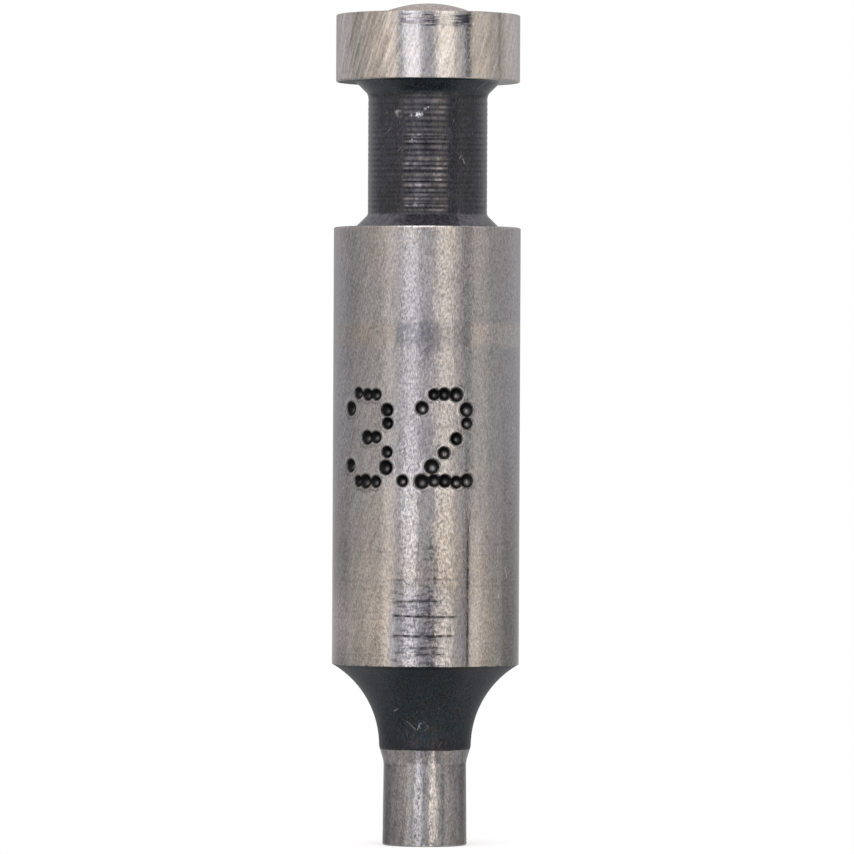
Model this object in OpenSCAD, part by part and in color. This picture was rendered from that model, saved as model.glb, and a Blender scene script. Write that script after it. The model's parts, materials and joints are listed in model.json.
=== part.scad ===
// Piercing punch: one piece of tool steel turned and ground about a single axis.
// +Z runs from the cutting face of the point, at z = 0, up to the crown on the head.
// All sizes are in millimetres.

/* [Point] */
// Diameter of the point at its cutting face
point_d = 3.22; // [1.6:0.02:5.6]
// Length of the ground point, cutting face to run-out
point_len = 3.18; // [2:0.02:8]
// Back taper of the point on each side, in degrees, which lets the pierced sheet strip off
back_taper = 0.65; // [0:0.05:1]
// Length of the grinding run-out between the point and the shoulder
run_out_len = 0.6; // [0.3:0.05:1.2]
// Step on each side from the top of the point out to the root of the shoulder
root_step = 0.18; // [0.05:0.01:0.4]

/* [Shoulder] */
// Radius of the concave shoulder that carries the load from point to shank
shoulder_r = 3.6; // [3.2:0.1:8]

/* [Shank] */
// Diameter of the ground shank that slides in the guide bore
shank_d = 7.14; // [6.4:0.02:8.4]
// Length of the shank between the shoulder and the groove
shank_len = 16.66; // [8:0.02:40]

/* [Groove] */
// Diameter of the neck inside the retaining groove
neck_d = 4.56; // [3:0.02:5.2]
// Length of the groove between the shank and the head
groove_len = 5.55; // [3:0.05:12]
// Size of the 45 degree corner at each end of the groove
groove_corner = 0.48; // [0.1:0.02:0.6]

/* [Head] */
// Diameter of the head
head_d = 7.03; // [6.6:0.01:8]
// Thickness of the head at its rim
head_h = 2.56; // [1:0.02:5]
// Diameter of the crown where it leaves the flat of the head
crown_d = 3.9; // [2:0.1:5.6]
// Height of the crown above the rim
crown_h = 0.45; // [0.1:0.05:0.9]

/* [Edges] */
// Break on the outer edges of the head and shank
edge_break = 0.06; // [0.02:0.01:0.2]
// Wear on the cutting edge of the point
cutting_wear = 0.04; // [0.01:0.01:0.15]

/* [Hidden] */
$fn = 96;
steel = [0.62, 0.60, 0.58];

point_r = point_d / 2;
waist_r = point_r - point_len * tan(back_taper);
root_r = waist_r + root_step;
shank_r = shank_d / 2;
neck_r = neck_d / 2;
head_r = head_d / 2;
crown_r = crown_d / 2;

// The shoulder's arc leaves the root along the axis and cuts the shank at its lower corner
shoulder_step = shank_r - root_r;
shoulder_len = sqrt(pow(shoulder_r, 2) - pow(shoulder_r - shoulder_step, 2));
crown_ball_r = (pow(crown_r, 2) + pow(crown_h, 2)) / (2 * crown_h);

z_root = point_len + run_out_len;
z_shank = z_root + shoulder_len;
z_groove = z_shank + shank_len;
z_head = z_groove + groove_len;
z_rim = z_head + head_h;

// Half section of the turned blank: every straight cut from the cutting face to the rim
module turned_section() {
    polygon([
        [0, 0],
        [point_r - cutting_wear, 0],
        [point_r, cutting_wear],
        [waist_r, point_len],
        [root_r, z_root],
        [shank_r, z_root],
        [shank_r, z_groove - edge_break],
        [shank_r - edge_break, z_groove],
        [neck_r + groove_corner, z_groove],
        [neck_r, z_groove + groove_corner],
        [neck_r, z_head - groove_corner],
        [neck_r + groove_corner, z_head],
        [head_r - edge_break, z_head],
        [head_r, z_head + edge_break],
        [head_r, z_rim - edge_break],
        [head_r - edge_break, z_rim],
        [0, z_rim]
    ]);
}

// Section that the form wheel takes out below the shank to leave the concave shoulder
module shoulder_cut() {
    translate([root_r + shoulder_r, z_root]) circle(r = shoulder_r);
}

// Half section of the crown that the lever presses on, sunk one edge break into the head
module crown_section() {
    intersection() {
        translate([0, z_rim + crown_h - crown_ball_r]) circle(r = crown_ball_r);
        translate([0, z_rim - edge_break]) square([crown_r, crown_h + 2 * edge_break]);
    }
}

// The punch, revolved as one piece
module punch() {
    color(steel) rotate_extrude() union() {
        difference() {
            turned_section();
            shoulder_cut();
        }
        crown_section();
    }
}

punch();
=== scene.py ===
"""Finish for a turned piercing punch: its worn, ground and blacked surface, and the studio it stands in.

The file is laid out as an add-on and run as a script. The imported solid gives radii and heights. The surface
built here follows the same outline, with the marks that the tools have left in it.
"""

import json
import math

import bpy
import numpy as np
from bpy.props import FloatProperty, FloatVectorProperty, IntProperty, PointerProperty
from mathutils import Euler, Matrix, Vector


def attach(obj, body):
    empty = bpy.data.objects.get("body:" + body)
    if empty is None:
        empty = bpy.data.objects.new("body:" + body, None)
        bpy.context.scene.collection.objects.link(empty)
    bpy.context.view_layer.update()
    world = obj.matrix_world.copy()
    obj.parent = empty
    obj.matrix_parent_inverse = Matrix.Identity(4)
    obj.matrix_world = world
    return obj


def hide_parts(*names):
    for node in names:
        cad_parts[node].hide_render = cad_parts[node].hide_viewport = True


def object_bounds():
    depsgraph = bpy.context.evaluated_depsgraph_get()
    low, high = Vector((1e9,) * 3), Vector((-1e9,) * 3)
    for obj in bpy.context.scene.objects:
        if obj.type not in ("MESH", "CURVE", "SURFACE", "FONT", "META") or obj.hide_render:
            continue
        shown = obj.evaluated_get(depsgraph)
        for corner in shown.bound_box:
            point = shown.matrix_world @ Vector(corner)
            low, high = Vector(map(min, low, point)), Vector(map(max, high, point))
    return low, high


bl_info = {
    "name": "Piercing Punch Finish",
    "version": (1, 0, 0),
    "blender": (4, 5, 0),
    "location": "3D View > Sidebar > Punch",
    "description": "Builds the worn surface of a turned piercing punch and the studio around it",
    "category": "Object",
}

MM = 0.001
NODE = "punch"
BODY = "root"
PHOTO_PX = 854
SENSOR_MM = 36.0

# The white of world and floor, the world's level as light, and the floor's own glow where it is seen
WHITE = (1.0, 1.0, 1.0)
WORLD_LIGHT = 0.85
FLOOR_GLOW = 0.38

# Middle, half width and softness in degrees from the camera's direction, foot and top in degrees above level,
# brightness, colour. A later card covers the ones before it.
TENT_CARDS = (
    (180, 70, 5, -7, 90, 0.27, "cool"),
    (180, 66, 26, -90, -7, 0.54, "cool"),
    (180, 70, 5, -1.2, 90, 0.5, "cool"),
    (180, 70, 5, 1.6, 90, 0.88, "cool"),
    (180, 32, 20, -90, 90, 0.5, "plain"),
    (-64, 22, 14, -90, 90, 1.02, "tan"),
    (-46, 9, 4, -90, 90, 1.5, "tan"),
    (-47, 10, 4, -9, -2.2, 1.28, "tan"),
    (-78, 28, 8, -9, -2, 0.36, "tan"),
    (68, 14, 9, -90, 90, 1.1, "tan"),
    (66, 9, 5, -90, -0.3, 1.3, "tan"),
    (70, 16, 8, -9, -2.1, 0.64, "tan"),
    (92, 22, 8, -9, -2.1, 0.42, "tan"),
    (-62, 34, 12, -90, -16, 0.68, "tan"),
    (68, 22, 9, -90, -16, 0.8, "tan"),
    (4, 42, 0.8, -90, 90, 0.56, "blue"),
    (4, 42, 0.8, -14, 90, 0.86, "blue"),
    (4, 42, 0.8, -0.2, 4.6, 1.04, "blue"),
    (4, 42, 0.8, 5.8, 90, 0.8, "blue"),
    (34, 6, 5, -14, 60, 1, "warm"),
    (34, 6, 5, -14, 4.4, 1.1, "warm"),
    (-32, 5, 5, -14, 0.8, 1.12, "cool"),
    (51.6, 2.4, 0.6, -9, 90, 0.1, "plain"),
    (51, 4, 1, -2.2, 0.9, 0.7, "blue"),
    (51, 4, 1, 2.2, 4.4, 0.6, "blue"),
    (50.8, 3.4, 0.8, 5.6, 60, 0.06, "plain"),
    (-19, 7.5, 2, -52, 60, 1.3, "cool"),
    (22, 9, 2.5, -52, 60, 1.75, "warm"),
    (-19, 7, 2, -16, 60, 2, "cool"),
    (22, 7, 2.5, -16, 60, 1.78, "warm"),
    (-19, 8, 2, -16, -2.3, 2.46, "cool"),
    (22, 8, 2.5, -16, -2.3, 2.6, "warm"),
    (-20.5, 11, 2, 5.2, 60, 2.14, "cool"),
    (21.5, 11, 2.5, 5.2, 60, 2.08, "warm"),
    (0, 190, 1, -90, -56, 0.6, "plain"),
)

# Scored part above the foot of the shank: its length, the count of faint lines, half the width of a faint and
# of a deep line, and how far a deep one waves
SCORED_LENGTH = 4.8 * MM
FAINT_COUNT = 18
FAINT_WIDTH = 0.03 * MM
SCORE_WIDTH = 0.046 * MM
SCORE_WAVE = 0.02 * MM

# Height in millimetres above the cutting face, depth share, first and last turn in degrees
SCORES = (
    (11.43, 0.35, -1, 7),
    (10.98, 0.45, -1, 7),
    (10.56, 0.4, -2, 8),
    (10.19, 0.6, -20, -13),
    (10.19, 0.5, 2, 19),
    (9.36, 0.8, -20, 8),
    (9.16, 0.35, -18, -4),
    (8.81, 1.0, -20, 19),
    (8.08, 0.95, -20, 17),
    (7.63, 0.8, -9, 10),
    (7.36, 0.8, -6, 12),
)

# Turn in degrees, height, half length and half width in millimetres, slant in radians per millimetre
NICKS = (
    (58.3, 10.45, 0.2, 0.03, -0.12),
    (50.9, 9.57, 0.08, 0.035, 0.1),
    (53, 28.95, 0.15, 0.03, 0.35),
    (-41, 27.2, 0.11, 0.03, 0.5),
    (-28, 26.5, 0.07, 0.03, 0.4),
    (33, 26.2, 0.08, 0.03, 0.3),
    (37, 26.05, 0.1, 0.03, -0.2),
    (-32.5, 5.21, 0.05, 0.09, 0.9),
    (-16.5, 4.64, 0.17, 0.02, -0.57),
    (-7.5, 4.57, 0.11, 0.03, 0.3),
)

# Turn in degrees, height and radius in millimetres, share of the oxide that is rubbed off
SPECKS = (
    (-8.2, 27.8, 0.2, 0.8),
    (-1.9, 28.02, 0.12, 0.75),
    (-15.2, 27.77, 0.14, 0.55),
    (-30.5, 27.86, 0.2, 0.42),
    (-26.2, 27.71, 0.09, 0.3),
    (-43.4, 27.85, 0.12, 0.2),
    (-15, 26.85, 0.08, 0.5),
)

# Heights in millimetres of the dark rings in the groove, and of the end of its rubbed part. The rubbed part's
# middle, half width and softness are in degrees from the front.
DARK_RINGS = (24.41, 25.26, 25.69, 26.98)
RUB_TOP = 27.3
# The rubbed part lies on the front, where the strip lamps are mirrored, so its bright crests are partly a
# painted highlight.
RUB_TURN = (-2.4, 23.0, 5.0)

# Distance across from the axis, height and radius of two scratched arcs, and half the width of a scratch, in
# millimetres
CURL = (-0.06, 4.6, 0.17)
HOOK = (0.44, 18.34, 0.74)
SCRATCH_HALF = 0.022

# Height in millimetres at which the oxide starts, counted from the middle of the run-out
OXIDE_START = 0.18

# First turn, last turn and softness in degrees, and share of scale, of the clusters below the rim
SCALE_CLUSTERS = (
    (-17.2, -9.2, 4.6, 0.4),
    (-3.4, 5.2, 3.4, 0.7),
    (16.0, 27.5, 3.4, 0.65),
)

# Slant of the grinding strokes, in radians per millimetre
STROKE_SLANT = 0.114

# The point's size in millimetres, and its signs in the peening machine's matrix of 5 columns and 7 rows
SIZE_NUMBER = "3.2"
SIGNS = {
    "2": (".###.", "#...#", "....#", "...#.", "..#..", ".#...", "#####"),
    "3": (".###.", "#...#", "....#", "..##.", "....#", "#...#", ".###."),
    ".": (".....", ".....", ".....", ".....", ".....", ".....", "..#.."),
}

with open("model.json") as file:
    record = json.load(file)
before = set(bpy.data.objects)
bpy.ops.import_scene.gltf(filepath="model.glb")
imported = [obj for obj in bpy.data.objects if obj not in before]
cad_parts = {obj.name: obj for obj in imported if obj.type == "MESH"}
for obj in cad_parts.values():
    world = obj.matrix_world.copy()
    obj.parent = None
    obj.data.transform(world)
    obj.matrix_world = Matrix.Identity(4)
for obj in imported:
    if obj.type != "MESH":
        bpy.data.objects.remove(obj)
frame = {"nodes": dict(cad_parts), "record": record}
CAD_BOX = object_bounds()


def mount(name):
    """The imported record's mount of that name."""
    return next(each for each in frame["record"]["mounts"] if each["name"] == name)


def widest(low, high):
    """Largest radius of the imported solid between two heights, in metres."""
    vertices = frame["nodes"][NODE].data.vertices
    flat = np.zeros(len(vertices) * 3)
    vertices.foreach_get("co", flat)
    x, y, z = flat.reshape(-1, 3).T
    return float(np.hypot(x, y)[(z >= low) & (z <= high)].max())


SHANK = mount("shank")
GROOVE = mount("retaining_groove")
SHANK_R = SHANK["dims"]["r_mm"] * MM
NECK_R = GROOVE["dims"]["r_mm"] * MM
GROOVE_MID = GROOVE["pos_m"][2]
GROOVE_HALF = GROOVE["dims"]["length_mm"] * MM / 2
GROOVE_FLOOR = GROOVE_MID - GROOVE_HALF
HEAD_FLOOR = GROOVE_MID + GROOVE_HALF
SHANK_FLOOR = SHANK["pos_m"][2] - SHANK["dims"]["length_mm"] * MM / 2
TOP = CAD_BOX[1].z
HEAD_R = widest(HEAD_FLOOR, TOP)
POINT_R = widest(0.0, 0.5 * MM)

# The same heights in millimetres, for the material
SHANK_FOOT = SHANK_FLOOR / MM
GROOVE_FOOT = GROOVE_FLOOR / MM
HEAD_FOOT = HEAD_FLOOR / MM


def labelled(group):
    """Labels each property of a group with its attribute's name."""
    for name, each in group.__annotations__.items():
        each.keywords["name"] = name.replace("_", " ").capitalize()
    return group


def length(description, default_mm):
    """A length, given in millimetres."""
    units = {"precision": 6, "subtype": "DISTANCE", "unit": "LENGTH"}
    return FloatProperty(description=description, default=default_mm * MM, **units)


def angle(description, default_deg):
    """An angle, given in degrees."""
    units = {"subtype": "ANGLE", "unit": "ROTATION"}
    return FloatProperty(description=description, default=math.radians(default_deg), **units)


def share(description, default):
    """A number from 0 to 1."""
    limits = {"min": 0.0, "max": 1.0, "subtype": "FACTOR"}
    return FloatProperty(description=description, default=default, **limits)


def number(description, default):
    """A plain number."""
    return FloatProperty(description=description, default=default)


def colour(description, default):
    """A scene-linear colour."""
    return FloatVectorProperty(description=description, default=default, size=3, subtype="COLOR")


@labelled
class PunchForm(bpy.types.PropertyGroup):
    """Turned form and tool marks of the punch."""

    point_len: length("Cutting face to the start of the run-out", 3.18)
    back_taper: angle("Taper of the point on each side", 0.65)
    run_out_len: length("Grinding run-out between point and shoulder", 0.6)
    run_out_round: length("Rounding where the run-out leaves the point", 1.0)
    root_round: length("Rounding where the run-out meets the shoulder", 0.5)
    root_step: length("Step from the point to the shoulder's root", 0.18)
    groove_corner: length("45 degree corner at each end of the groove", 0.48)
    head_h: length("Thickness of the head at its rim", 2.56)
    crown_d: length("Diameter at the crown's foot", 3.9)
    crown_round: length("Hollow rounding at the crown's foot", 1.4)
    edge_round: length("Rounding of the outer edges", 0.05)
    cutting_round: length("Rounding of the cutting edge by wear", 0.07)

    sign_pitch: length("Distance between the number's signs", 1.57)
    mark_middle: length("Height of the number's middle", 15.55)
    mark_turn: angle("Turn of the number's middle", -14.0)
    peen_d: length("Diameter of one peened dot", 0.53)
    peen_across: length("Distance between columns of dots", 0.44)
    peen_up: length("Distance between rows of dots", 0.545)
    peen_depth: length("Depth of one peened dot", 0.18)

    ring_pitch: length("Mean spacing of the rings in the groove", 0.2)
    ring_depth: length("Mean depth of the rings in the groove", 0.0068)
    ring_wear: number("How far the rings' crests are rubbed", 2.2)
    score_depth: length("Depth of the score lines low on the shank", 0.008)

    fine_step: length("Grid spacing up the marked faces", 0.045)
    column_step: length("Grid spacing around the front", 0.055)
    plain_step: length("Grid spacing on plain ground faces", 0.22)
    plain_columns: IntProperty(description="Grid columns around the back", default=60)
    seed: IntProperty(description="Seed of the tool marks", default=11)


@labelled
class PunchFinish(bpy.types.PropertyGroup):
    """Colours and gloss of the finishes."""

    ground: colour("Bright ground faces", (0.298, 0.287, 0.291))
    ground_warm: colour("Warmer patches of the ground faces", (0.33, 0.294, 0.266))
    dull: colour("Crown and flat of the head", (0.605, 0.52, 0.495))
    blacked: colour("Black oxide on the shoulder", (0.009, 0.017, 0.0236))
    blacked_neck: colour("Greyer oxide in the groove and low on the shoulder", (0.0122, 0.0124, 0.0182))
    browned: colour("Rusty patches low on the shoulder", (0.0205, 0.015, 0.0165))
    blacked_foot: colour("Thin oxide, mostly low in the groove", (0.066, 0.063, 0.074))
    rubbed: colour("Metal under rubbed oxide", (0.24, 0.225, 0.23))
    bare: colour("Fresh metal in nicks and rubbed specks", (0.68, 0.7, 0.76))
    # Near-black fill: painted shade in the peened dots, and dark fill in the score lines.
    residue: colour("Dirt held in dots and scores", (0.009, 0.0095, 0.0105))
    blued: colour("Stain and soot on the shank", (0.172, 0.17, 0.2))
    scale: colour("Blue-black scale left near the head's rim", (0.05, 0.053, 0.072))
    ground_rough: share("Roughness low on the shank", 0.125)
    upper_rough: share("Roughness gained up to the groove", 0.1)
    neck_rough: share("Roughness of the oxide in the groove", 0.23)
    shoulder_rough: share("Roughness of the oxide on the shoulder", 0.42)


@labelled
class PunchStage(bpy.types.PropertyGroup):
    """Camera, lamps and floor."""

    camera_distance: length("Camera to the punch's axis", 270.0)
    pixels_per_mm: number("Scale at the punch's axis", 26.18)
    axis_px: number("Column of the punch's axis at mid height", 426.4)
    face_px: number("Row of the cutting face", 844.7)
    lean: angle("Turn of the camera about its view axis", -0.27)
    lamp_distance: length("Strip lamps to the punch's axis", 600.0)
    cool: colour("Left strip lamp", (0.97, 0.96, 1.0))
    warm: colour("Right strip lamp", (1, 0.94, 0.86))
    blue: colour("Wall between the strip lamps", (0.95, 0.945, 1.0))
    tan: colour("Side cards", (1, 0.955, 0.91))
    wall_level: number("Light level of the bare tent wall", 0.74)
    wall_low: angle("Elevation of the tent wall's foot", -86.0)
    wall_high: angle("Elevation of the tent wall's top", 60.0)
    card_soft: angle("Softness of the cards' feet and tops", 2.0)
    floor_radius: length("Radius of the white floor", 16.0)
    floor: colour("White of the floor", (0.86, 0.86, 0.86))


def arc_points(centre, radius, start, stop, steps):
    """Points along a circle in the (radius, height) plane."""
    turn = np.linspace(start, stop, steps + 1)
    return np.c_[centre[0] + radius * np.cos(turn), centre[1] + radius * np.sin(turn)]


def rounded_corner(before, corner, after, radius, steps=6):
    """The arc of a radius that touches both legs of a corner, with a guard point on each leg beside it."""
    guard = 1.5
    leg_in = (before - corner) / np.linalg.norm(before - corner)
    leg_out = (after - corner) / np.linalg.norm(after - corner)
    half = math.acos(np.clip(leg_in @ leg_out, -1.0, 1.0)) / 2
    reach = radius / math.tan(half)
    middle = corner + (leg_in + leg_out) / np.linalg.norm(leg_in + leg_out) * radius / math.sin(half)
    first = corner + leg_in * reach - middle
    last = corner + leg_out * reach - middle
    turn = np.linspace(0.0, 1.0, steps + 1)[:, None]
    sweep = math.pi - 2 * half
    arc = (np.sin((1 - turn) * sweep) * first + np.sin(turn * sweep) * last) / math.sin(sweep)
    guard_in = corner + leg_in * reach * guard
    guard_out = corner + leg_out * reach * guard
    return np.vstack([guard_in, middle + arc, guard_out])


class Outline:
    """Half section of the punch, drawn from the cutting face up, one corner at a time."""

    def __init__(self):
        self.corners = []

    def to(self, radius, height, step, rounding=0.0):
        """Adds a corner, with the row spacing of the leg that leads to it and its rounding."""
        self.corners.append((np.array([radius, height]), step, rounding))

    def through(self, points, step):
        """Adds the points of a curve that needs no rounding."""
        for point in points:
            self.corners.append((point, step, 0.0))

    def rows(self):
        """The outline as one polyline: corners rounded, then each leg divided to its own spacing."""
        points = [self.corners[0][0][None]]
        steps = [np.zeros(1)]
        for index in range(1, len(self.corners)):
            corner, step, rounding = self.corners[index]
            piece = corner[None]
            if rounding > 0.0:
                before = self.corners[index - 1][0]
                after = self.corners[index + 1][0]
                piece = rounded_corner(before, corner, after, rounding)
            points.append(piece)
            steps.append(np.r_[step, np.full(len(piece) - 1, rounding + step)])
        points = np.vstack(points)
        steps = np.concatenate(steps)[1:]
        legs = np.linalg.norm(np.diff(points, axis=0), axis=1)
        counts = np.maximum(np.ceil(legs / steps - 1e-6), 1).astype(int)
        leg = np.repeat(np.arange(len(legs)), counts)
        within = np.arange(len(leg)) - np.repeat(np.cumsum(counts) - counts, counts)
        part = (within / counts[leg])[:, None]
        return np.vstack([points[leg] * (1 - part) + points[leg + 1] * part, points[-1]])


def turned_outline(form):
    """Half section of the worn punch: point, concave shoulder, shank, groove and crowned head."""
    waist_r = POINT_R - form.point_len * math.tan(form.back_taper)
    root = np.array([waist_r + form.root_step, form.point_len + form.run_out_len])
    rise = SHANK_FLOOR - root[1]
    reach = SHANK_R - root[0]
    shoulder_r = (rise**2 + reach**2) / (2 * reach)
    shoulder_centre = root + (shoulder_r, 0.0)
    shoulder_end = math.pi - math.asin(rise / shoulder_r)
    shoulder = arc_points(shoulder_centre, shoulder_r, math.pi, shoulder_end, 26)

    rim = HEAD_FLOOR + form.head_h
    crown_r = form.crown_d / 2
    crown_h = TOP - rim
    ball_r = (crown_r**2 + crown_h**2) / (2 * crown_h)
    crown_start = math.asin((ball_r - crown_h) / ball_r)
    crown = arc_points((0.0, TOP - ball_r), ball_r, crown_start, math.pi / 2, 16)
    clear_of_round = 4

    mark_low = form.mark_middle - 3 * form.peen_up - form.peen_d
    mark_high = form.mark_middle + 3 * form.peen_up + form.peen_d
    score_high = SHANK_FLOOR + SCORED_LENGTH
    fine, plain = form.fine_step, form.plain_step
    corner = form.groove_corner

    outline = Outline()
    outline.to(0.0, 0.0, plain)
    outline.to(POINT_R, 0.0, 2 * plain, form.cutting_round)
    outline.to(waist_r, form.point_len, plain, form.run_out_round)
    outline.to(root[0], root[1], plain / 4, form.root_round)
    outline.through(shoulder[1:-1], plain)
    outline.to(SHANK_R, SHANK_FLOOR, plain, form.edge_round / 3)
    outline.to(SHANK_R, score_high, fine)
    outline.to(SHANK_R, mark_low, 2 * plain)
    outline.to(SHANK_R, mark_high, fine)
    outline.to(SHANK_R, GROOVE_FLOOR, 2 * plain, 1.5 * form.edge_round)
    outline.to(NECK_R + corner, GROOVE_FLOOR, plain, form.edge_round)
    outline.to(NECK_R, GROOVE_FLOOR + corner, plain / 2, 3.6 * form.edge_round)
    outline.to(NECK_R, HEAD_FLOOR - corner, fine, 6 * form.edge_round)
    outline.to(NECK_R + corner, HEAD_FLOOR, plain / 2, 2 * form.edge_round)
    outline.to(HEAD_R, HEAD_FLOOR, plain, form.edge_round)
    outline.to(HEAD_R, rim, plain, form.edge_round)
    outline.to(crown_r, rim, 2 * plain, form.crown_round)
    outline.through(crown[clear_of_round:], plain)
    return outline.rows()


def sign_dots(rows):
    """Columns and rows of a sign's dots, counted from the middle of its matrix."""
    return np.array([(x - 2, 3 - y) for y, row in enumerate(rows) for x, dot in enumerate(row) if dot == "#"])


def size_mark(form):
    """Dots of the size number, side by side, as distance around the shank and height."""
    middle = (len(SIZE_NUMBER) - 1) / 2
    dots = [
        sign_dots(SIGNS[sign]) * (form.peen_across, form.peen_up) + ((place - middle) * form.sign_pitch, 0.0)
        for place, sign in enumerate(SIZE_NUMBER)
    ]
    return np.vstack(dots) + (form.mark_turn * SHANK_R, form.mark_middle)


def peened(form, around, height, random):
    """Depth of the peened dots and the near-black fill in them, which is painted shade.

    Each dot is a bowl with a low lip around it, and the deepest dot wins. The near-black fill, painted shade,
    covers a bowl's wall and thins out a little below its middle, where the bare metal catches the light.
    """
    dots = size_mark(form)
    dots = dots + random.normal(0.0, 0.028 * MM, dots.shape)
    size = form.peen_d / 2 * random.uniform(0.88, 1.14, len(dots))
    depth = form.peen_depth * random.uniform(0.8, 1.15, len(dots))
    across = (around[..., None] - dots[:, 0]) / size
    along = (height[..., None] - dots[:, 1]) / size
    reach = np.hypot(across, along)
    bowl = np.clip(1 - reach**2, 0.0, 1.0) ** 1.2 * depth
    lip = np.exp(-(((reach - 1.14) / 0.15) ** 2)) * 0.08 * depth
    wall = np.clip((1.12 - reach) / 0.2, 0.0, 1.0)
    glint = np.exp(-((np.hypot(across - 0.1, along + 0.22) / 0.3) ** 2)) * random.uniform(0.3, 0.9, len(dots))
    deepest = bowl.argmax(axis=-1)[..., None]
    worn = np.take_along_axis(glint, deepest, axis=-1)[..., 0]
    return bowl.max(axis=-1) - lip.max(axis=-1), wall.max(axis=-1) * (1 - worn)


def neck_rings(form, turn, height, random):
    """Depth of the turned rings, the rubbing of their crests and the darkening of their valleys.

    The rings are waves of uneven pitch and depth, one after another up the neck. Their crests are rubbed
    bright on the front and keep their oxide elsewhere, and their valleys are darkest on the front. On the
    front this is partly wear and grime, and partly a painted highlight and painted shade where the strip
    lamps are mirrored.
    """
    count = int(2 * GROOVE_HALF / form.ring_pitch * 1.4)
    edges = GROOVE_FLOOR + np.cumsum(form.ring_pitch * random.uniform(0.6, 1.5, count))
    depth = form.ring_depth * random.uniform(0.3, 1.7, count + 1)
    rub = random.uniform(0.3, 1.0, count + 1) ** 1.4
    ring = np.searchsorted(edges, height)
    low = np.r_[GROOVE_FLOOR, edges][ring]
    high = np.r_[edges, edges[-1] + form.ring_pitch][ring]
    within = (height - low) / (high - low)
    fade = np.clip((height - GROOVE_FLOOR - form.groove_corner) / (2 * form.fine_step), 0.0, 1.0)
    fade = fade * np.clip((HEAD_FLOOR - form.groove_corner - height) / (2 * form.fine_step), 0.0, 1.0)
    rub_middle, rub_half, rub_soft = np.radians(RUB_TURN)
    ahead = np.clip((rub_half - np.abs(turn - rub_middle)) / rub_soft, 0.0, 1.0)
    rubbed_part = 1 - 0.45 * np.clip((height - RUB_TOP * MM) / (0.3 * MM), 0.0, 1.0)
    uneven = 0.7 + 0.3 * np.sin(9 * turn + 40 * rub[ring])
    crest = np.sin(math.pi * within) ** 2
    wear = np.minimum(form.ring_wear * crest**1.5 * rub[ring], 1.0) * (0.06 + 0.94 * ahead)
    valley = np.minimum((1 - crest) ** 1.5 * (0.15 + 1.05 * ahead) * np.roll(rub, 3)[ring], 1.0)
    return depth[ring] * (1 - crest) * fade, wear * uneven * rubbed_part * fade, valley * fade


def score_lines(form, turn, height, random):
    """Depth of the scores low on the shank: deep ones at the front, and faint ones all the way round."""
    faint_place = SHANK_FLOOR + SCORED_LENGTH * random.uniform(0.03, 1.0, FAINT_COUNT) ** 1.3
    faint = random.uniform(0.03, 0.11, FAINT_COUNT)
    phase = random.uniform(0.0, 2 * math.pi, FAINT_COUNT)
    swell = 0.55 + 0.45 * np.sin(2 * turn[..., None] + phase)
    around = np.exp(-(((height[..., None] - faint_place) / FAINT_WIDTH) ** 2)) * faint * swell
    deep_place, deep, first, last = np.array(SCORES).T
    wave = SCORE_WAVE * np.sin(5 * turn[..., None] + np.arange(len(deep)))
    line = np.exp(-(((height[..., None] + wave - deep_place * MM) / SCORE_WIDTH) ** 2)) * deep
    turned = np.degrees(turn)[..., None]
    part = np.clip((turned - first) / 2.5 + 0.5, 0.0, 1.0) * np.clip((last - turned) / 4.0 + 0.5, 0.0, 1.0)
    uneven = 0.8 + 0.2 * np.sin(0.9 * turned + 7 * deep_place)
    groove = np.maximum(around.max(axis=-1), (line * part * uneven).max(axis=-1))
    return groove * form.score_depth, groove


def column_turns(form):
    """Angles of the grid's columns: close together over the size number, wide apart around the back."""
    half = (form.sign_pitch + 2 * form.peen_across + 2 * form.peen_d) / SHANK_R
    fine = int(2 * half * SHANK_R / form.column_step)
    front = np.linspace(-half, half, fine, endpoint=False)
    back = np.linspace(half, 2 * math.pi - half, form.plain_columns, endpoint=False)
    return form.mark_turn + np.r_[front, back]


def revolved(rows, turns, inset):
    """Vertices and faces of a closed surface of revolution.

    A row is a point of the outline and a column a turn about the axis, from -Y towards +X. Each point moves
    inwards along the outline's normal by its inset. The first and last rows close to one vertex each.
    """
    slope = np.gradient(rows, axis=0)
    slope = slope / np.linalg.norm(slope, axis=1)[:, None]
    radius = rows[:, :1] - slope[:, 1:] * inset
    height = rows[:, 1:] + slope[:, :1] * inset
    grid = np.stack([radius * np.sin(turns), -radius * np.cos(turns), height], axis=-1)[1:-1]
    count, columns = grid.shape[:2]
    low_pole = np.array([[0.0, 0.0, rows[0, 1]]])
    high_pole = np.array([[0.0, 0.0, rows[-1, 1]]])
    vertices = np.vstack([low_pole, grid.reshape(-1, 3), high_pole])

    index = 1 + np.arange(count * columns).reshape(count, columns)
    right = np.roll(index, -1, axis=1)
    quads = np.stack([index[:-1], right[:-1], right[1:], index[1:]], axis=-1).reshape(-1, 4)
    low_fan = np.c_[np.zeros(columns, int), right[0], index[0]]
    high_fan = np.c_[index[-1], right[-1], np.full(columns, len(vertices) - 1)]
    return vertices, low_fan.tolist() + quads.tolist() + high_fan.tolist()


def point_attribute(mesh, name, grid):
    """Stores one number per vertex, row by row, with nothing at the two poles."""
    values = np.r_[0.0, grid[1:-1].ravel(), 0.0].astype(np.float32)
    mesh.attributes.new(name, "FLOAT", "POINT").data.foreach_set("value", values)


def placed(name, data):
    """A new object in the scene."""
    made = bpy.data.objects.new(name, data)
    bpy.context.scene.collection.objects.link(made)
    return made


def opaque(rgb):
    """A colour with full alpha, for a socket."""
    return (*rgb, 1.0)


def arithmetic(operation, reflected=False):
    """An operator's method, which adds a Math node. The reflected form swaps the operands."""
    if reflected:
        return lambda socket, other: socket.math(operation, other, socket)
    return lambda socket, other: socket.math(operation, socket, other)


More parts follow.
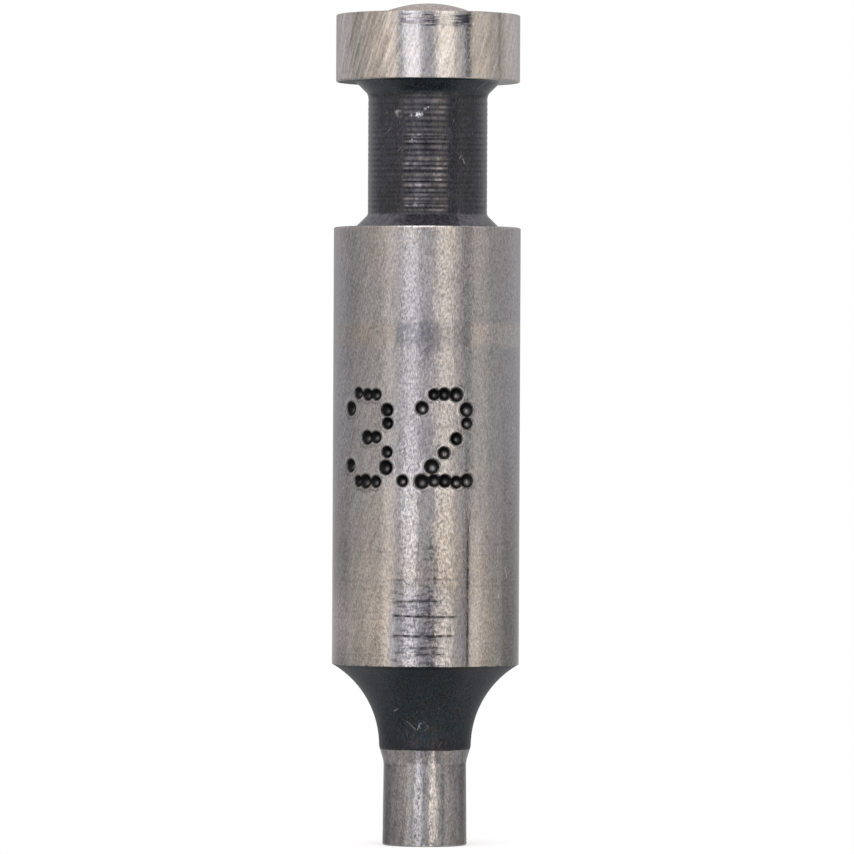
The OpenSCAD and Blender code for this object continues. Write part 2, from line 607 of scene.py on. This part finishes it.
class Socket:
    """An output socket. Arithmetic on it adds Math nodes to its tree."""

    def __init__(self, tree, output):
        self.tree = tree
        self.output = output

    def math(self, operation, *operands):
        """A Math node on the given operands."""
        return self.tree.node("ShaderNodeMath", {"operation": operation}, list(operands))

    __add__ = arithmetic("ADD")
    __radd__ = arithmetic("ADD", reflected=True)
    __sub__ = arithmetic("SUBTRACT")
    __rsub__ = arithmetic("SUBTRACT", reflected=True)
    __mul__ = arithmetic("MULTIPLY")
    __rmul__ = arithmetic("MULTIPLY", reflected=True)
    __pow__ = arithmetic("POWER")


class Tree:
    """A node tree that is built by expressions."""

    def __init__(self, owner):
        owner.use_nodes = True
        self.nodes = owner.node_tree.nodes
        self.links = owner.node_tree.links
        self.nodes.clear()

    def node(self, kind, settings=None, inputs=None, out=0):
        """Adds a node with settings and inputs. An input is a value or a socket, by index or by name."""
        made = self.nodes.new(kind)
        for name, value in (settings or {}).items():
            setattr(made, name, value)
        pairs = inputs.items() if isinstance(inputs, dict) else enumerate(inputs or [])
        for key, value in pairs:
            if isinstance(value, Socket):
                self.links.new(value.output, made.inputs[key])
            else:
                made.inputs[key].default_value = value
        return Socket(self, made.outputs[out]) if len(made.outputs) else made

    def rise(self, value, low, high):
        """A smooth step from 0 below low to 1 above high."""
        inputs = {"Value": value, "From Min": low, "From Max": high}
        return self.node("ShaderNodeMapRange", {"interpolation_type": "SMOOTHSTEP"}, inputs)

    def between(self, value, low, high, soft):
        """1 between two values, with a soft edge at each."""
        return self.rise(value, low - soft, low + soft) * (1 - self.rise(value, high - soft, high + soft))

    def blend(self, mask, first, second):
        """Colour mix by a mask. A plain colour gets full alpha."""
        first, second = (each if isinstance(each, Socket) else opaque(each) for each in (first, second))
        return self.node("ShaderNodeMix", {"data_type": "RGBA"}, {0: mask, 6: first, 7: second}, out=2)

    def stretched(self, vector, scale):
        """A vector scaled by its own amount along each axis."""
        return self.node("ShaderNodeVectorMath", {"operation": "MULTIPLY"}, [vector, scale])

    def scaled(self, colour, amount):
        """A colour made lighter or darker by an amount."""
        return self.node("ShaderNodeVectorMath", {"operation": "SCALE"}, {0: colour, "Scale": amount})

    def larger(self, first, second):
        """The larger of two values."""
        return self.node("ShaderNodeMath", {"operation": "MAXIMUM"}, [first, second])

    def attribute(self, name):
        """A number that the mesh stores at its vertices."""
        return self.node("ShaderNodeAttribute", {"attribute_name": name}, out="Fac")


class Steel(Tree):
    """Places, patterns, zones, stains and wear that the finishes of the punch share.

    Heights are in millimetres above the cutting face and turns in radians from the front towards +X. A zone
    is 1 inside and 0 outside. A pattern is noise around 0.
    """

    def __init__(self, material, form, finish):
        super().__init__(material)
        self.form = form
        self.finish = finish
        self.rim = (HEAD_FLOOR + form.head_h) / MM
        self.set_places()
        self.set_patterns()
        self.set_zones()
        self.set_stains()
        self.set_wear()

    def pattern(self, around, along, detail, rough, vector=None):
        """Fractal noise around 0, with its fineness per millimetre around and along the punch."""
        place = self.stretched(vector or self.mm, (around, around, along))
        inputs = {"Vector": place, "Scale": 1.0, "Detail": detail, "Roughness": rough}
        return self.node("ShaderNodeTexNoise", {"noise_dimensions": "3D"}, inputs) - 0.5

    def above(self, low, high):
        """A smooth step up the punch, from 0 at one height to 1 at another."""
        return self.rise(self.height, low, high)

    def belt(self, low, high, soft, stray=None):
        """1 between two heights, with soft edges that can stray by a pattern."""
        height = self.height if stray is None else self.height + stray
        return self.between(height, low, high, soft)

    def sector(self, first, last, soft, stray=None):
        """1 between two turns in degrees, with soft edges that can stray by a pattern."""
        turn = self.turn if stray is None else self.turn + stray
        return self.between(turn, math.radians(first), math.radians(last), math.radians(soft))

    def away_from(self, across, height):
        """Distance from a place on the front, as it is seen from there."""
        return ((self.across - across) ** 2 + (self.height - height) ** 2) ** 0.5

    def scratched_arc(self, across, height, radius, stray):
        """A scratch along a circle on the front, with a share of the usual straying."""
        away = self.away_from(across, height) + (self.ripple * 0.2 + self.grain * 0.16) * stray
        return self.between(away, radius - SCRATCH_HALF, radius + SCRATCH_HALF, 0.026) * self.front

    def set_places(self):
        """Where a point of the surface lies: across, up, around and off the axis."""
        self.mm = self.stretched(self.node("ShaderNodeTexCoord", out="Object"), (1 / MM,) * 3)
        axes = [self.node("ShaderNodeSeparateXYZ", None, [self.mm], out=axis) for axis in range(3)]
        self.across, back, self.height = axes
        self.turn = self.across.math("ARCTAN2", self.across, back * -1)
        self.off_axis = (self.across**2 + back**2) ** 0.5

    def set_patterns(self):
        """Noise of several sizes, and the slanting strokes and ticks of the grinding."""
        self.wander = self.pattern(1.6, 1.6, 3, 0.6)
        self.ripple = self.pattern(7, 7, 3, 0.6)
        self.grain = self.pattern(8, 8, 1, 0.5)
        self.speck = self.pattern(20, 8, 2, 0.7)
        self.mottle = self.pattern(0.8, 0.5, 3, 0.6)
        self.lump = self.pattern(6, 2.6, 2, 0.6)
        slant = {"Vector": self.mm, "Angle": self.height * -STROKE_SLANT}
        twisted = self.node("ShaderNodeVectorRotate", {"rotation_type": "Z_AXIS"}, slant)
        self.strokes = self.pattern(8, 0.55, 3, 0.65, twisted)
        self.ticks = self.rise(self.pattern(9, 3, 1, 0.5, twisted), 0.2, 0.28)

    def set_zones(self):
        """The faces of the punch and its sides."""
        form = self.form
        edge = self.height + self.wander * 0.08 + self.ripple * 0.06
        root = (form.point_len + 0.5 * form.run_out_len) / MM + OXIDE_START
        self.shoulder = self.between(edge, root, SHANK_FOOT, 0.02)
        # A thin belt just below the shank, where the oxide is darkened into a painted shadow line.
        self.lip = self.between(edge, SHANK_FOOT - 0.1, SHANK_FOOT, 0.03)
        self.neck = self.blacked_groove(edge)
        self.black = self.shoulder + self.neck
        self.point = 1 - self.above(root, root + 0.1)
        self.polish = self.above(SHANK_FOOT + 2.0, GROOVE_FOOT - 1.0)
        self.head = self.above(HEAD_FOOT - 0.1, HEAD_FOOT)
        self.crown = self.above(self.rim - 0.03, self.rim)
        self.front = self.sector(-19, 27, 2)
        self.left = self.sector(-80, -22, 8)
        self.right_edge = self.sector(48, 100, 6)
        # Where the two strip lamps are mirrored on the front. Ground colour that follows these strips is
        # painted light and shade.
        self.warm_strip = self.sector(6, 15, 3) * (1 - self.head)
        self.lit = self.sector(-15, -6, 3) * (1 - self.head) + self.warm_strip
        self.strokes *= 0.25 + self.left * 0.6 + self.head * 0.3

    def blacked_groove(self, edge):
        """The oxide in the groove, which covers both of its flats out to their edges."""
        shank_edge, head_edge = SHANK_R / MM, HEAD_R / MM
        inset = 0.15 * (1 - self.rise(self.off_axis, shank_edge - 0.3, shank_edge - 0.1))
        overhang = 0.06 * self.rise(self.off_axis, head_edge - 0.08, head_edge - 0.04)
        foot = self.rise(edge + inset, GROOVE_FOOT - 0.03, GROOVE_FOOT + 0.01)
        return foot * (1 - self.rise(edge + overhang - inset, HEAD_FOOT + 0.02, HEAD_FOOT + 0.06))

    def set_stains(self):
        """The blued band with its tongue, and streak, soot and dashes low on the front."""
        self.band = self.belt(19.05, 19.9, 0.16, self.wander * 0.5)
        self.stain = self.larger(self.band, self.tongue())
        self.stain *= self.rise(self.mottle + self.ripple, -0.3, 0.1)
        self.stain *= 1 - 0.6 * self.rise(self.across, 0.4, 0.65)
        self.streak = self.sector(0, 6, 3, self.wander * 0.1) * self.belt(6.5, 11.6, 0.8)
        self.streak *= self.rise(self.mottle + self.ripple + self.lump, -0.12, 0.14)
        self.soot = self.belt(6, 9.9, 0.5, self.wander) * self.sector(-22.9, 24.1, 1.7)
        self.soot *= self.rise(self.mottle + self.ripple * 1.5, -0.35, 0.2)
        self.dashes = self.belt(6, 10.2, 0.5, self.wander) * self.sector(-21.8, 11.5, 3.4)
        self.dashes *= self.rise(self.pattern(2, 8, 2, 0.6), 0.0, 0.12)

    def tongue(self):
        """The stain's tongue: the upper left part of the hook's inside."""
        across, height, radius = HOOK
        away = self.away_from(across, height) + self.ripple * 0.1
        inside = 1 - self.rise(away, radius - 0.08, radius + 0.04)
        inside *= 1 - self.rise(self.across, across, across + 0.3)
        return inside * self.above(height + 0.2, height + 0.7)

    def set_wear(self):
        """Bare specks, nicks and ring crests, and the rings' darkened valleys, which on the front are partly
        painted light and shade.
        """
        self.rubbed = sum(self.rubbed_speck(*each) for each in SPECKS)
        self.nicks = self.ticks * 0.2 + sum(self.nick(*each) for each in NICKS)
        self.nicks *= 1 - self.black * 0.65 * (1 - self.rise(self.ripple, -0.12, 0.06))
        curl = self.scratched_arc(*CURL, 1.0) * self.rise(self.grain, -0.06, 0.1)
        self.nicks += curl * 0.7
        broken = 0.3 + 0.7 * self.rise(self.pattern(6, 3, 2, 0.6), -0.12, 0.1)
        worn = self.larger(self.attribute("worn") * broken, self.rubbed)
        worn = self.larger(worn, self.ticks * (0.12 + self.neck * 0.23))
        worn = self.larger(worn, self.nicks * 0.75)
        dark_rings = self.dark_rings()
        self.worn = worn * (1 - dark_rings * 0.9)
        self.valley = self.larger(self.attribute("valley"), dark_rings)

    def rubbed_speck(self, turn, height, radius, amount):
        """A bare speck on the neck that thins out from its middle."""
        aside = (self.turn - math.radians(turn)) * (NECK_R / MM)
        away = (aside**2 + (self.height - height) ** 2) ** 0.5 + (self.ripple + self.grain) * 0.22
        return (1 - self.rise(away, 0.0, radius)) * amount * (1 + self.speck * 4)

    def nick(self, turn, height, half_length, half_width, slant):
        """A short, straight, slanting nick."""
        along = self.height - height
        aside = (self.turn - math.radians(turn) - along * slant) * (SHANK_R / MM)
        part = self.between(along, -half_length, half_length, 0.02)
        return part * self.between(aside, -half_width, half_width, 0.015)

    def dark_rings(self):
        """Broken dark rings at the front of the groove."""
        stray = self.ripple * 0.05
        rings = sum(self.belt(height - 0.03, height + 0.03, 0.02, stray) for height in DARK_RINGS)
        return rings * self.sector(-25, 19, 4) * self.neck * self.rise(self.ripple, -0.22, -0.02)


def ground_texture(steel):
    """Shade by strokes, specks and patches, livelier where a strip lamp is mirrored: a painted sparkle."""
    specks = steel.speck * (1.7 + steel.lit * (0.7 - steel.polish * 0.5) - steel.head * 0.5)
    grain = steel.grain * (0.25 + steel.front * 0.2 + steel.lit * (0.9 - steel.polish * 0.4))
    strokes = steel.strokes * (0.9 + steel.head * 0.9)
    patches = steel.mottle * (0.25 + steel.point * 0.5) + steel.lump * (0.35 + steel.point * 0.4)
    return 1 + specks + grain + strokes + patches


def painted_side_light(steel):
    """Painted light and shade by height and side, with a lighter head and a darker point in tone."""
    # Painted shade over the mirrored strip lamps at some heights, and painted light in the gap between them
    # high up.
    calm = steel.lit * (steel.belt(13.8, 20.2, 1.2) * 0.12 + steel.above(20.0, 21.5) * 0.05)
    calm += steel.warm_strip * steel.belt(9.9, 13.2, 0.8) * 0.15
    gap = steel.sector(-3.5, 3.5, 1.5) * (1 - steel.head) * steel.above(19.8, 21.0)
    # Painted light and shade low on the shank: lighter overall and on the left, darker on the front, the
    # right edge and the left flank.
    sides = steel.sector(-95, -54, 5) * 0.42 - steel.right_edge * 0.17 - steel.sector(-46, -40, 4) * 0.12
    bottom = steel.belt(SHANK_FOOT, 9.5, 1.0) * (0.15 - steel.front * 0.11 + sides)
    lower = steel.left * 0.08 - steel.front * 0.07 - steel.right_edge * 0.05
    # Painted highlight beside the long dark line: the reflected edge of a tan card.
    beside_line = steel.sector(27.6, 36, 1.5) * (1 - steel.above(11.5, 13.0)) * (1 - steel.point)
    run_out = steel.form.point_len / MM
    # Painted light on the stain band's right flank, with a little painted shade on its left flank.
    behind = (1 - steel.front) * (steel.rise(steel.turn, 0.0, 0.3) * 0.22 - 0.03)
    shade = (1 - calm + gap * 0.08) * (1 + steel.head * 0.28) * (1 - steel.point * 0.16)
    # Painted shade up the shank, more on the left and none on the right edge.
    shade *= 1.09 - steel.polish * (0.06 + steel.left * 0.07 - steel.right_edge * 0.06)
    shade *= (1 + bottom) * (1 + steel.belt(7.6, 11.2, 0.8) * lower) * (1 + beside_line * 0.18)
    # Painted light on the run-out just above the point.
    return shade * (1 + steel.belt(run_out, run_out + 0.5, 0.15) * 0.06) * (1 + steel.band * behind)


def ground_marks(steel):
    """Shade by nicks, scratches, a dark line down the head and the long dark line on the shank, a painted
    reflection.
    """
    across, height = HOOK[:2]
    hook = steel.scratched_arc(*HOOK, 0.35) * steel.above(height + 0.15, height + 0.35)
    hook *= 1 - steel.rise(steel.across, across - 0.15, across + 0.05)
    rim_dash = steel.belt(23.3, 23.34, 0.03, steel.ripple * 0.03) * steel.sector(2.5, 6.5, 1)
    # A dark line down the head.
    head_line = steel.sector(48.8, 52, 1.8, steel.wander * 0.03) * steel.head
    # The long dark line on the shank is a painted reflection of a dark card's edge.
    line = steel.sector(25.5, 27.1, 0.5, steel.ripple * 0.008) * steel.belt(SHANK_FOOT, 12.4, 0.3)
    line *= 0.35 + 0.65 * steel.rise(steel.lump + steel.wander, -0.15, 0.12)
    shade = (1 + steel.nicks * 0.8) * (1 - head_line * (0.3 + steel.wander * 0.8))
    return shade * (1 - line * 0.74) * (1 - hook * 0.5) * (1 - rim_dash * 0.4)


def painted_edge_highlight(steel):
    """Painted highlight along the edges at the groove's foot and around the cutting face, strongest on the
    front.
    """
    form = steel.form
    edges = steel.belt((GROOVE_FLOOR - 1.5 * form.edge_round) / MM, GROOVE_FOOT + 0.1, 0.02)
    edges += steel.belt(-1.0, form.cutting_round / MM, 0.02)
    return 1 + edges * (0.15 + steel.sector(-15, 9, 8) * (1.1 + steel.ripple * 4.0))


def rim_scale(steel):
    """Scale below the head's rim: short level lines, gathered in clusters on the front."""
    stray = steel.ripple * 0.08
    clusters = sum(steel.sector(*sector, stray) * amount for *sector, amount in SCALE_CLUSTERS)
    belt = steel.belt(steel.rim - 0.6, steel.rim - 0.12, 0.04, steel.ripple * 0.1)
    lines = steel.rise(steel.pattern(1.8, 12, 3, 0.65), -0.1, 0.02)
    return belt * (clusters + steel.front * 0.25) * lines


def ground_colour(steel):
    """Ground steel in cool and warm patches, blued by stain and soot, with a dull crown."""
    finish = steel.finish
    # Besides the grain and the marks, this shade holds painted light and shade by side and height, and
    # painted highlights on edges.
    shade = ground_texture(steel) * painted_side_light(steel) * ground_marks(steel) * painted_edge_highlight(steel)
    shade *= 1 - steel.front * (steel.stain * 0.34 + steel.streak * 0.8)
    shade *= 1 - steel.soot * 0.1 - steel.dashes * 0.44
    tint = steel.pattern(1.1, 0.9, 3, 0.6) * 0.8 + (1 - steel.belt(12.5, GROOVE_FOOT, 3.5)) * 0.8
    tint += steel.band * (0.6 - steel.front * 1.2) + steel.ripple * 1.6
    tint = tint - steel.point * 0.7 - steel.soot - steel.head * steel.front * 0.6
    ground = steel.scaled(steel.blend(tint, finish.ground, finish.ground_warm), shade)
    ground = steel.blend(steel.front * steel.stain * 0.5 + steel.soot * 0.2, ground, finish.blued)
    ground = steel.blend(rim_scale(steel), ground, finish.scale)
    dull = steel.scaled(tuple(finish.dull), 1 + steel.speck * 2.0 + steel.lump * 0.9 + steel.mottle * 0.3)
    return steel.blend(steel.crown, ground, dull)


def oxide_colour(steel):
    """Black oxide: grey in the groove and low on the shoulder, brown in patches, thin low in the groove."""
    form, finish = steel.form, steel.finish
    # Painted shade under the head: the oxide there is blacker and darker.
    shade_under_head = steel.above((HEAD_FLOOR - form.groove_corner) / MM - 0.15, HEAD_FOOT - 0.4)
    greyer = steel.shoulder * (1 - steel.rise(steel.height + steel.wander, 3.7, 4.5)) * 0.75
    greyer += steel.neck * (1 - shade_under_head * 0.8)
    oxide = steel.blend(greyer, finish.blacked, finish.blacked_neck)
    rusty = steel.rise(steel.wander + steel.ripple * 0.7, 0.0, 0.16) * (1 - 0.7 * steel.above(4.2, 5.6))
    oxide = steel.blend(rusty * steel.shoulder, oxide, finish.browned)
    # Painted sheen: the shoulder's upper flanks, away from the front, are lighter.
    painted_flank_sheen = (1 - steel.sector(-26, 26, 8)) * steel.above(4.6, 5.8) * steel.shoulder
    oxide = steel.blend(painted_flank_sheen * 0.12, oxide, finish.blacked_foot)
    foot = steel.belt(GROOVE_FOOT, (GROOVE_FLOOR + form.groove_corner) / MM, 0.06)
    oxide = steel.blend(foot * (0.8 - steel.front * 0.4), oxide, finish.blacked_foot)
    patchy = 1 + steel.speck * (8.5 - steel.shoulder * 2 - foot * 5)
    patchy = patchy + steel.mottle * 1.2 + steel.lump * steel.neck * 3
    # Painted shadow: a thin dark line just below the shank, and the oxide a little darker under the head.
    patchy = steel.larger(patchy * (1 - steel.lip * 0.7) * (1 - shade_under_head * 0.2), 0.1)
    shown = steel.blend(steel.rubbed + steel.nicks * 0.3, finish.rubbed, finish.bare)
    return steel.blend(steel.worn, steel.scaled(oxide, patchy), shown)


def roughness(steel, residue):
    """Smooth low on the shank, rougher up to the groove, and rougher still on the oxide."""
    finish = steel.finish
    bright = finish.ground_rough + (steel.polish - steel.head) * finish.upper_rough
    bright += steel.point * 0.07 + steel.head * 0.02 + steel.crown * 0.3
    oxide = steel.neck * finish.neck_rough + steel.shoulder * finish.shoulder_rough
    underside = steel.belt(HEAD_FOOT - 0.02, HEAD_FOOT + 0.03, 0.02) * steel.neck
    underside *= 1 - steel.rise(steel.turn, -0.95, -0.75)
    return bright * (1 - steel.black) + oxide + steel.speck * 0.12 + residue * 0.25 + underside * 0.26


def relief(steel):
    """Finest relief in millimetres: specks everywhere, and strokes, lumps and slow waves on ground faces."""
    bare = 1 - steel.black
    upper = (steel.polish - steel.head) * bare
    specks = steel.speck * (0.0018 + upper * 0.0016 + steel.black * 0.004 + steel.shoulder * 0.003)
    waves = steel.pattern(2.4, 1.3, 2, 0.55) * steel.sector(-15, 20, 5)
    waves *= 0.02 - steel.polish * 0.012 + steel.point * 0.012
    ground = steel.strokes * 0.003 + steel.lump * (0.003 + steel.point * 0.004) + steel.grain * 0.0025 + waves
    rough = (steel.lump * 0.004 + steel.grain * 0.002) * upper + steel.lump * steel.neck * 0.005
    return specks + ground * bare + rough


def tool_steel(form, finish):
    """Ground steel with black oxide in the groove and on the shoulder, painted shade in dots and dark fill in
    scores.
    """
    material = bpy.data.materials.new("ground_and_blacked_steel")
    steel = Steel(material, form, finish)
    residue = steel.attribute("residue")
    base = steel.blend(steel.black, ground_colour(steel), oxide_colour(steel))
    # The near-black fill paints the dots' shade and darkens the score lines.
    base = steel.blend(residue, base, finish.residue)
    oxide = steel.neck * (1 - steel.valley * 0.92) + steel.shoulder * 0.6
    bump = {"Strength": 1.0, "Distance": MM, "Height": relief(steel)}
    inputs = {
        "Base Color": base,
        "Metallic": 1 - oxide * (1 - steel.worn),
        "Roughness": roughness(steel, residue),
        "Normal": steel.node("ShaderNodeBump", None, bump),
        "IOR": 1.45,
        "Anisotropic": 0.3,
        "Anisotropic Rotation": 0.25,
    }
    shader = steel.node("ShaderNodeBsdfPrincipled", None, inputs)
    steel.node("ShaderNodeOutputMaterial", None, {"Surface": shader})
    return material


class PUNCH_OT_turn(bpy.types.Operator):
    """Builds the worn surface of the punch over its solid."""

    bl_idname = "punch.turn"
    bl_label = "Turn the punch"

    def execute(self, context):
        form = context.scene.punch_form
        random = np.random.default_rng(form.seed)
        rows = turned_outline(form)
        turns = column_turns(form)
        turn, height = np.meshgrid(turns, rows[:, 1])
        on_shank = np.isclose(rows[:, :1], SHANK_R, atol=1e-7)
        on_neck = np.isclose(rows[:, :1], NECK_R, atol=1e-7)
        wrapped = (turn + math.pi) % (2 * math.pi) - math.pi

        inset = np.zeros_like(turn)
        dark_fill = np.zeros_like(turn)
        marked = (np.abs(height[:, 0] - form.mark_middle) < 4 * form.peen_up) & on_shank[:, 0]
        # Painted shade in the peened dots.
        pits, dot_shade = peened(form, wrapped[marked] * SHANK_R, height[marked], random)
        inset[marked] += pits
        dark_fill[marked] = dot_shade
        rings, worn, valley = neck_rings(form, wrapped, height, random)
        inset += rings * on_neck
        scores, scored = score_lines(form, wrapped, height, random)
        inset += scores * on_shank
        dark_fill = np.maximum(dark_fill, np.minimum(1.2 * scored, 1.0) * on_shank)

        mesh = bpy.data.meshes.new("punch_surface")
        vertices, faces = revolved(rows, turns, inset)
        mesh.from_pydata(vertices, [], faces)
        mesh.shade_smooth()
        point_attribute(mesh, "residue", dark_fill)
        # Rubbed ring crests: partly wear, partly a painted highlight on the front. Darkened valleys: partly
        # grime, partly painted shade.
        point_attribute(mesh, "worn", worn * on_neck)
        point_attribute(mesh, "valley", valley * on_neck)
        mesh.materials.append(tool_steel(form, context.scene.punch_finish))
        punch = placed("punch_surface", mesh)
        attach(punch, BODY)
        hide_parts(NODE)
        return {"FINISHED"}


def white_to_sight(tree):
    """1 for rays that show a surface as such: from the camera, mirrored by metal or passed on by glass."""
    kinds = ("Is Camera Ray", "Is Glossy Ray", "Is Transmission Ray")
    shown = sum(tree.node("ShaderNodeLightPath", out=kind) for kind in kinds)
    return shown.math("MINIMUM", shown, 1.0)


def studio_world():
    """A plain world: white wherever it is seen, and a little softer as light."""
    scene = bpy.context.scene
    scene.world = scene.world or bpy.data.worlds.new("studio")
    tree = Tree(scene.world)
    seen = tree.node("ShaderNodeBackground", None, {"Color": opaque(WHITE), "Strength": 1.0})
    cast = tree.node("ShaderNodeBackground", None, {"Color": opaque(WHITE), "Strength": WORLD_LIGHT})
    mixed = tree.node("ShaderNodeMixShader", None, [white_to_sight(tree), cast, seen])
    tree.node("ShaderNodeOutputWorld", None, {"Surface": mixed})


def floor_finish(rgb):
    """Matt white floor that takes the shadow, with a share of its own white where it is seen."""
    material = bpy.data.materials.new("white_floor")
    tree = Tree(material)
    matt = tree.node("ShaderNodeBsdfDiffuse", None, {"Color": opaque(rgb)})
    glow = {"Color": opaque(WHITE), "Strength": white_to_sight(tree) * FLOOR_GLOW}
    white = tree.node("ShaderNodeEmission", None, glow)
    both = tree.node("ShaderNodeAddShader", None, [matt, white])
    tree.node("ShaderNodeOutputMaterial", None, {"Surface": both})
    return material


def soft_side(distance, soft):
    """1 well inside a card's side and 0 well outside it, by the distance to the side."""
    part = np.clip(distance / (2 * soft) + 0.5, 0.0, 1.0)
    return part * part * (3 - 2 * part)


def tent_glow(stage, turn, rise):
    """Light level and colour of the tent wall: each card covers what lies behind it, with soft sides."""
    tints = {"cool": stage.cool, "warm": stage.warm, "blue": stage.blue, "tan": stage.tan, "plain": WHITE}
    glow = np.full((*turn.shape, 3), stage.wall_level)
    for middle, half, soft, foot, top, level, tint in TENT_CARDS:
        away = np.abs((turn - math.radians(middle) + math.pi) % (2 * math.pi) - math.pi)
        part = soft_side(math.radians(half) - away, math.radians(soft))
        part = part * soft_side(rise - math.radians(foot), stage.card_soft)
        part = part * soft_side(math.radians(top) - rise, stage.card_soft)
        glow = glow * (1 - part[..., None]) + part[..., None] * level * np.array(tints[tint])
    return glow


def tent_light():
    """Light in the colours that the tent wall's mesh stores."""
    material = bpy.data.materials.new("tent_light")
    tree = Tree(material)
    glow = tree.node("ShaderNodeAttribute", {"attribute_name": "glow"}, out="Color")
    light = tree.node("ShaderNodeEmission", None, {"Color": glow, "Strength": 1.0})
    tree.node("ShaderNodeOutputMaterial", None, {"Surface": light})
    return material


def tent_wall(stage):
    """A ball-shaped wall of light around the punch, unseen by the camera: strip lamps, cards and flags.

    Its columns are turns about the axis and its rows are elevations, closer together near the camera's level.
    """
    columns, half_rows = 480, 32
    turns = np.linspace(-math.pi, math.pi, columns, endpoint=False)
    spread = np.linspace(0.0, 1.0, half_rows + 1) ** 2
    rises = np.r_[stage.wall_low * spread[:0:-1], stage.wall_high * spread]
    turn, rise = np.meshgrid(turns, rises)
    rows = len(rises)
    reach = stage.lamp_distance * np.cos(rise)
    height = stage.lamp_distance * np.sin(rise)
    vertices = np.stack([reach * np.sin(turn), -reach * np.cos(turn), height], axis=-1).reshape(-1, 3)
    index = np.arange(columns * rows).reshape(rows, columns)
    right = np.roll(index, -1, axis=1)
    faces = np.stack([right[:-1], index[:-1], index[1:], right[1:]], axis=-1).reshape(-1, 4)
    mesh = bpy.data.meshes.new("tent_wall")
    mesh.from_pydata(vertices, [], faces.tolist())
    glow = np.concatenate([tent_glow(stage, turn, rise), np.ones((rows, columns, 1))], axis=-1)
    glow = glow.astype(np.float32).ravel()
    mesh.attributes.new("glow", "FLOAT_COLOR", "POINT").data.foreach_set("color", glow)
    mesh.materials.append(tent_light())
    wall = placed("tent_wall", mesh)
    wall.visible_camera = False


def floor_disc(stage):
    """A round white floor under the punch. Beyond it the white world goes on."""
    columns = 96
    turns = np.linspace(0.0, 2 * math.pi, columns, endpoint=False)
    ring = np.c_[np.cos(turns), np.sin(turns), np.zeros(columns)] * stage.floor_radius
    mesh = bpy.data.meshes.new("floor")
    mesh.from_pydata(ring, [], [list(range(columns))])
    mesh.materials.append(floor_finish(stage.floor))
    floor = placed("floor", mesh)
    floor.visible_glossy = False


class PUNCH_OT_stage(bpy.types.Operator):
    """Sets the camera, the lamps, the white world and the floor."""

    bl_idname = "punch.stage"
    bl_label = "Set the stage"

    def execute(self, context):
        stage = context.scene.punch_stage
        context.scene.view_settings.view_transform = "Standard"
        self.set_camera(context, stage)
        studio_world()
        tent_wall(stage)
        floor_disc(stage)
        return {"FINISHED"}

    def set_camera(self, context, stage):
        """Level camera whose scale and centre come from the photograph's rows and columns."""
        per_metre = stage.pixels_per_mm / MM
        camera = bpy.data.cameras.new("camera")
        camera.sensor_width = SENSOR_MM
        camera.lens = stage.camera_distance * per_metre / PHOTO_PX * SENSOR_MM
        camera.clip_start = 0.01
        camera.clip_end = 10.0
        holder = placed("camera", camera)
        side = (PHOTO_PX / 2 - stage.axis_px) / per_metre
        rise = (stage.face_px - PHOTO_PX / 2) / per_metre
        holder.location = (side, -stage.camera_distance, rise)
        holder.rotation_euler = Euler((math.pi / 2, stage.lean, 0.0))
        context.scene.camera = holder


class PUNCH_PT_sidebar(bpy.types.Panel):
    """Lists the steps and the values that they use."""

    bl_idname = "PUNCH_PT_sidebar"
    bl_label = "Piercing punch"
    bl_space_type = "VIEW_3D"
    bl_region_type = "UI"
    bl_category = "Punch"

    def draw(self, context):
        column = self.layout.column()
        column.operator(PUNCH_OT_stage.bl_idname)
        column.operator(PUNCH_OT_turn.bl_idname)
        for group in (context.scene.punch_form, context.scene.punch_finish, context.scene.punch_stage):
            for name in group.__annotations__:
                column.prop(group, name)


CLASSES = (PunchForm, PunchFinish, PunchStage, PUNCH_OT_turn, PUNCH_OT_stage, PUNCH_PT_sidebar)


def register():
    for each in CLASSES:
        bpy.utils.register_class(each)
    bpy.types.Scene.punch_form = PointerProperty(type=PunchForm)
    bpy.types.Scene.punch_finish = PointerProperty(type=PunchFinish)
    bpy.types.Scene.punch_stage = PointerProperty(type=PunchStage)


def unregister():
    del bpy.types.Scene.punch_stage
    del bpy.types.Scene.punch_finish
    del bpy.types.Scene.punch_form
    for each in reversed(CLASSES):
        bpy.utils.unregister_class(each)


def main():
    register()
    bpy.ops.punch.stage()
    bpy.ops.punch.turn()


if __name__ == "__main__":
    main()
